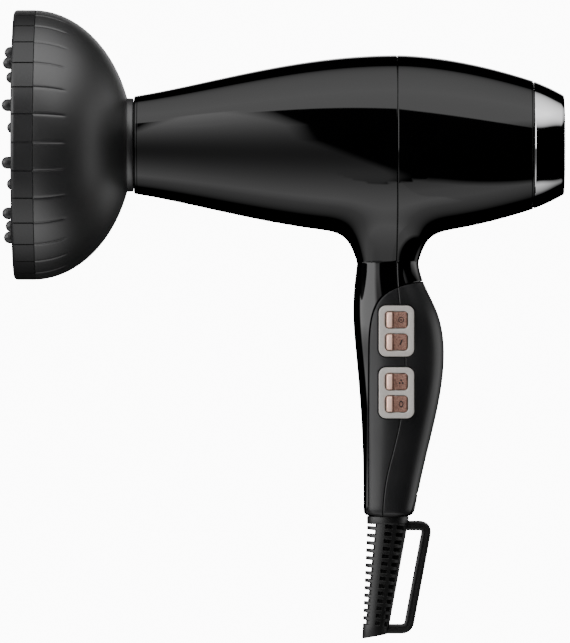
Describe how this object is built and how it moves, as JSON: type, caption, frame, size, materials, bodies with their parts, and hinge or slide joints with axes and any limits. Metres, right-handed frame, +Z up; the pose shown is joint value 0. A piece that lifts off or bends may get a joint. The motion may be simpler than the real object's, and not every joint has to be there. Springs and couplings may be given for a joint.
{
  "type": "hair dryer",
  "caption": "Full-size hair dryer with a tapered barrel, soft handle, rocker switches, lift-off intake ring and a push-on finger diffuser.",
  "frame": {"origin": "middle of the hand grip", "axes": "+Z up the handle, +X to the air intake, -X to the outlet and the diffuser, switches on the -Y side"},
  "size_m": [0.28, 0.135, 0.3138],
  "materials": {
    "gloss_black": "polished black moulding",
    "soft_grip": "soft-touch matte black",
    "satin_silver": "satin warm silver",
    "rose_gold": "satin rose gold with a fine speckle",
    "steel": "plain steel",
    "cream_plastic": "moulded switch body",
    "board_green": "circuit board",
    "capacitor_yellow": "moulded case",
    "white_plastic": "moulded",
    "red_wire": "insulated wire",
    "relief_rubber": "matte black rubber",
    "heat_plastic": "heat-resistant moulding",
    "mica": "mica sheet",
    "resistance_wire": "resistance wire",
    "dark_plastic": "moulded",
    "bronze": "sintered bronze",
    "polished_ring": "polished mirror plating",
    "grille_black": "moulded grille",
    "satin_black": "satin black moulding"
  },
  "bodies": {
    "casing": {"front_housing": "gloss_black", "rear_housing": "gloss_black", "front_grip_pads": "soft_grip", "rear_grip": "soft_grip", "upper_bezel": "satin_silver", "lower_bezel": "satin_silver", "upper_rocker_pin": "steel", "lower_rocker_pin": "steel", "upper_switch": "cream_plastic", "lower_switch": "cream_plastic", "control_board": "board_green", "capacitor": "capacitor_yellow", "terminal_block": "white_plastic", "cord_clamp": "steel", "housing_screws": "steel", "wiring": "red_wire", "strain_relief": "relief_rubber", "outlet_nozzle": "heat_plastic", "outlet_grille": "steel", "heater_sleeve": "mica", "heater_former": "mica", "heater_coils": "resistance_wire", "thermostat": "dark_plastic", "thermal_fuse": "steel", "ioniser_module": "dark_plastic", "ioniser_needle": "steel", "air_duct": "dark_plastic", "motor_housing": "dark_plastic", "motor_mount_rings": "relief_rubber", "motor_can": "steel", "motor_bushes": "bronze"},
    "diffuser_mount": {"diffuser_clip": "steel"},
    "diffuser": {"diffuser_bowl": "satin_black", "diffuser_front": "satin_black"},
    "fan_rotor": {"fan": "white_plastic", "motor_shaft": "steel"},
    "rear_filter": {"rear_trim_ring": "polished_ring", "rear_grille": "grille_black", "filter_mesh": "steel"},
    "ion_rocker": {"ion_rocker": "rose_gold"},
    "boost_rocker": {"boost_rocker": "rose_gold"},
    "speed_rocker": {"speed_rocker": "rose_gold"},
    "heat_rocker": {"heat_rocker": "rose_gold"}
  },
  "joints": [
    {"name": "diffuser_pull", "type": "slide", "parent": "casing", "child": "diffuser_mount", "axis": [-1, 0, 0], "range_m": [0, 0.012]},
    {"name": "diffuser_turn", "type": "hinge", "parent": "diffuser_mount", "child": "diffuser", "pos_m": [-0.15, 0, 0.1125], "axis": [1, 0, 0], "continuous": true},
    {"name": "fan_spin", "type": "hinge", "parent": "casing", "child": "fan_rotor", "pos_m": [0.02, 0, 0.1125], "axis": [1, 0, 0], "continuous": true},
    {"name": "filter_pull", "type": "slide", "parent": "casing", "child": "rear_filter", "axis": [1, 0, 0], "range_m": [0, 0.015]},
    {"name": "ion_press", "type": "hinge", "parent": "casing", "child": "ion_rocker", "pos_m": [-0.002, -0.0162, 0.02505], "axis": [0, 0, -1], "range_deg": [0, 14]},
    {"name": "boost_press", "type": "hinge", "parent": "casing", "child": "boost_rocker", "pos_m": [-0.002, -0.0162, 0.01395], "axis": [0, 0, -1], "range_deg": [0, 14]},
    {"name": "speed_press", "type": "hinge", "parent": "casing", "child": "speed_rocker", "pos_m": [-0.002, -0.0162, -0.00575], "axis": [0, 0, -1], "range_deg": [0, 14]},
    {"name": "heat_press", "type": "hinge", "parent": "casing", "child": "heat_rocker", "pos_m": [-0.002, -0.0162, -0.01685], "axis": [0, 0, -1], "range_deg": [0, 14]}
  ]
}
